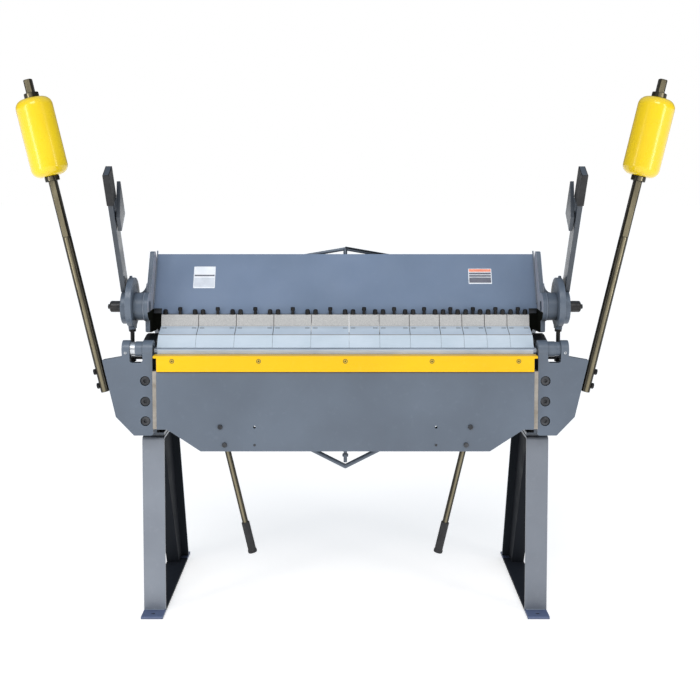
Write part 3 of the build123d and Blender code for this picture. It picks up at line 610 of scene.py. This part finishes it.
def ring_seam(centre, radius, step, start=0.0, turn=360.0):
    """Points round a seam in a plane of constant X, from an angle above the back, in degrees."""
    count = round(math.radians(turn) * radius / step)
    points = []
    for k in range(count + 1):
        a = math.radians(start + turn * k / count)
        points.append(Vector(centre) + Vector((0, math.cos(a), math.sin(a))) * radius)
    return points


RIPPLE = 4.5 * MM
BEAD_STEP = 1.5 * MM


def lay_bead(work, points, radius):
    """A run of weld along the points: a round bead that swells and shrinks with each ripple."""
    sides = 8
    rings = []
    for k, point in enumerate(points):
        ahead = points[min(k + 1, len(points) - 1)] - points[max(k - 1, 0)]
        across = ahead.cross(Vector((0.37, 0.61, 0.7))).normalized()
        up = ahead.cross(across).normalized()
        swell = radius * (1 + 0.13 * math.sin(math.tau * k * BEAD_STEP / RIPPLE))
        if k in (0, len(points) - 1):
            swell *= 0.5
        ring = []
        for n in range(sides):
            a = math.tau * n / sides
            ring.append(work.verts.new(point + (across * math.cos(a) + up * math.sin(a)) * swell))
        rings.append(ring)
    for low, high in zip(rings, rings[1:]):
        for n in range(sides):
            face = work.faces.new((low[n], low[n - 1], high[n - 1], high[n]))
            face.smooth = True
    work.faces.new(rings[0])
    work.faces.new(list(reversed(rings[-1])))


def panel_face():
    """Lowest front point in the middle of the beam's panel, its upward direction and its outward normal."""
    mesh = nodes["beam_panel"].data
    face = max((p for p in mesh.polygons if p.normal.y < -0.7), key=lambda p: p.area)
    normal = face.normal.copy()
    up = Vector((0, -normal.z, normal.y)) * (1 if normal.y > 0 else -1)
    corner = min((mesh.vertices[v].co for v in face.vertices), key=lambda co: co.z)
    return Vector((0, corner.y, corner.z)), up.normalized(), normal


def panel_point(x, up_panel, proud=0.0):
    low, up, normal = panel_face()
    return Vector((x, low.y, low.z)) + up * up_panel + normal * proud


END_PLATE_T = 15 * MM
LEG_INSET, LEG_WIDTH, FRAME_INSET = 3 * MM, 67 * MM, 24 * MM
WEB_SEAM = (-236 * MM, -130 * MM)


def add_welds():
    low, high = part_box("beam_panel")
    up = panel_face()[1]
    top = (high.z - low.z) / up.z - 8 * MM
    beam = bmesh.new()
    for x in both_sides(high.x - 1.5 * MM):
        foot, head = panel_point(x, 18 * MM, 1 * MM), panel_point(x, top, 1 * MM)
        lay_bead(beam, seam(foot, head, BEAD_STEP), 2.6 * MM)
    for x in both_sides(high.x + END_PLATE_T):
        lay_bead(beam, ring_seam((x, SHAFT_AT.y, SHAFT_AT.z), HUB_RADIUS, BEAD_STEP, 95, 260), 2.4 * MM)
    new_piece("beam_welds", beam, [WELD], "beam")

    stand = bmesh.new()
    front_low, front_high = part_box("front_legs")
    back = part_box("rear_legs")[1].y
    base_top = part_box("base_plates")[1].z
    web_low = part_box("hinge_blocks")[0].z + 11 * MM
    outer = front_high.x - LEG_INSET
    inner = outer - LEG_WIDTH
    web = front_high.x - FRAME_INSET
    for s in (-1, 1):
        for y in (front_low.y, back):
            lay_bead(stand, seam((s * inner, y, base_top), (s * outer, y, base_top), BEAD_STEP), 2.6 * MM)
        ends = [(s * web, y, web_low) for y in WEB_SEAM]
        lay_bead(stand, seam(*ends, BEAD_STEP), 2.4 * MM)
    new_piece("frame_welds", stand, [WELD], "frame")


def rounded_outline(width, height, radius, steps=5):
    """Corner-rounded rectangle about the origin, counter-clockwise."""
    points = []
    for cx, cy, first in ((1, 1, 0), (-1, 1, 90), (-1, -1, 180), (1, -1, 270)):
        for k in range(steps + 1):
            a = math.radians(first + 90 * k / steps)
            points.append((cx * (width / 2 - radius) + radius * math.cos(a),
                           cy * (height / 2 - radius) + radius * math.sin(a)))
    return points


def add_blank_plate(name, x, up_panel, width, height, bands, materials):
    """A thin blank plate on the beam's panel.
    bands are (lower edge, upper edge, material), the edges as shares of its height."""
    work = bmesh.new()
    thick = 0.7 * MM
    up, normal = panel_face()[1:]
    across = Vector((1, 0, 0))
    centre = panel_point(x, up_panel, -0.2 * MM)

    def place(px, py, proud):
        return centre + across * px + up * py + normal * proud

    outline = rounded_outline(width, height, 2 * MM)
    back = [work.verts.new(place(px, py, 0)) for px, py in outline]
    front = [work.verts.new(place(px, py, thick)) for px, py in outline]
    count = len(outline)
    work.faces.new(front)
    work.faces.new(list(reversed(back)))
    for k in range(count):
        work.faces.new((back[k], back[(k + 1) % count], front[(k + 1) % count], front[k]))
    for start, end, index in bands:
        y0, y1 = (start - 0.5) * height, (end - 0.5) * height
        x1 = width / 2 - 2.5 * MM
        corners = [(-x1, y0), (x1, y0), (x1, y1), (-x1, y1)]
        low_ring = [work.verts.new(place(px, py, thick - 0.1 * MM)) for px, py in corners]
        high_ring = [work.verts.new(place(px, py, thick + 0.15 * MM)) for px, py in corners]
        faces = [work.faces.new(high_ring), work.faces.new(list(reversed(low_ring)))]
        for k in range(4):
            n = (k + 1) % 4
            faces.append(work.faces.new((low_ring[k], low_ring[n], high_ring[n], high_ring[k])))
        for face in faces:
            face.material_index = index
    return new_piece(name, work, materials, "beam")


def add_set_screws():
    """A cup-headed set screw in the front of each outer hinge ear, with its hexagon socket."""
    work = bmesh.new()
    pin_low, pin_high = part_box("hinge_pins")
    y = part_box("right_hinge_bracket")[0].y + 0.3 * MM
    z = (pin_low.z + pin_high.z) / 2 - 9 * MM
    radius, socket, deep = 4.6 * MM, 2.4 * MM, 2.5 * MM
    for x in both_sides(pin_high.x - 11.5 * MM):
        rings = []
        for r, dy, sides in ((radius, 3 * MM, 24), (radius, 0.6 * MM, 24), (radius - 0.6 * MM, 0, 24),
                             (socket, 0, 24), (socket, deep, 24)):
            ring = []
            for n in range(sides):
                a = math.tau * n / sides
                flat = r
                if r == socket:
                    flat = r * math.cos(math.pi / 6) / math.cos((a % (math.pi / 3)) - math.pi / 6)
                at = (x + flat * math.cos(a), y + dy - 0.8 * MM, z + flat * math.sin(a))
                ring.append(work.verts.new(at))
            rings.append(ring)
        for first, second in zip(rings, rings[1:]):
            for n in range(len(first)):
                work.faces.new((first[n - 1], first[n], second[n], second[n - 1]))
        work.faces.new(rings[-1])
        work.faces.new(rings[0])
    new_piece("hinge_set_screws", work, [ZINC], "leaf")


def add_floor():
    mesh = bpy.data.meshes.new("floor")
    work = bmesh.new()
    bmesh.ops.create_grid(work, x_segments=2, y_segments=2, size=60)
    work.to_mesh(mesh)
    work.free()
    floor = bpy.data.objects.new("floor", mesh)
    bpy.context.scene.collection.objects.link(floor)
    f = Finish("pale_floor")
    colour = f.mix(f.span(f.noise(0.8, 3), 0.3, 0.7), (0.86, 0.82, 0.78, 1), (0.88, 0.84, 0.80, 1))
    f.shader.inputs["Emission Color"].default_value = (1, 1, 1, 1)
    f.shader.inputs["Emission Strength"].default_value = FLOOR_GLOW
    mesh.materials.append(f.paint_on(colour, f.span(f.noise(0.3, 2), 0.3, 0.7, 0.6, 0.7)))


add_camera()
add_studio()
add_floor()
finish_nodes()
add_welds()
LEFT_BANDS = [(0.55, 0.62, 1), (0.06, 0.48, 2)]
RIGHT_BANDS = [(0.79, 0.97, 1), (0.62, 0.74, 2), (0.46, 0.58, 2), (0.07, 0.42, 2)]
add_blank_plate("left_blank_plate", x=-485 * MM, up_panel=114 * MM, width=74 * MM, height=80 * MM,
                bands=LEFT_BANDS, materials=[WHITE_PRINT, NAVY_PRINT, GREY_PRINT])
add_blank_plate("right_blank_plate", x=464 * MM, up_panel=118 * MM, width=80 * MM, height=56 * MM,
                bands=RIGHT_BANDS, materials=[WHITE_PRINT, ORANGE_PRINT, NAVY_PRINT])
add_set_screws()
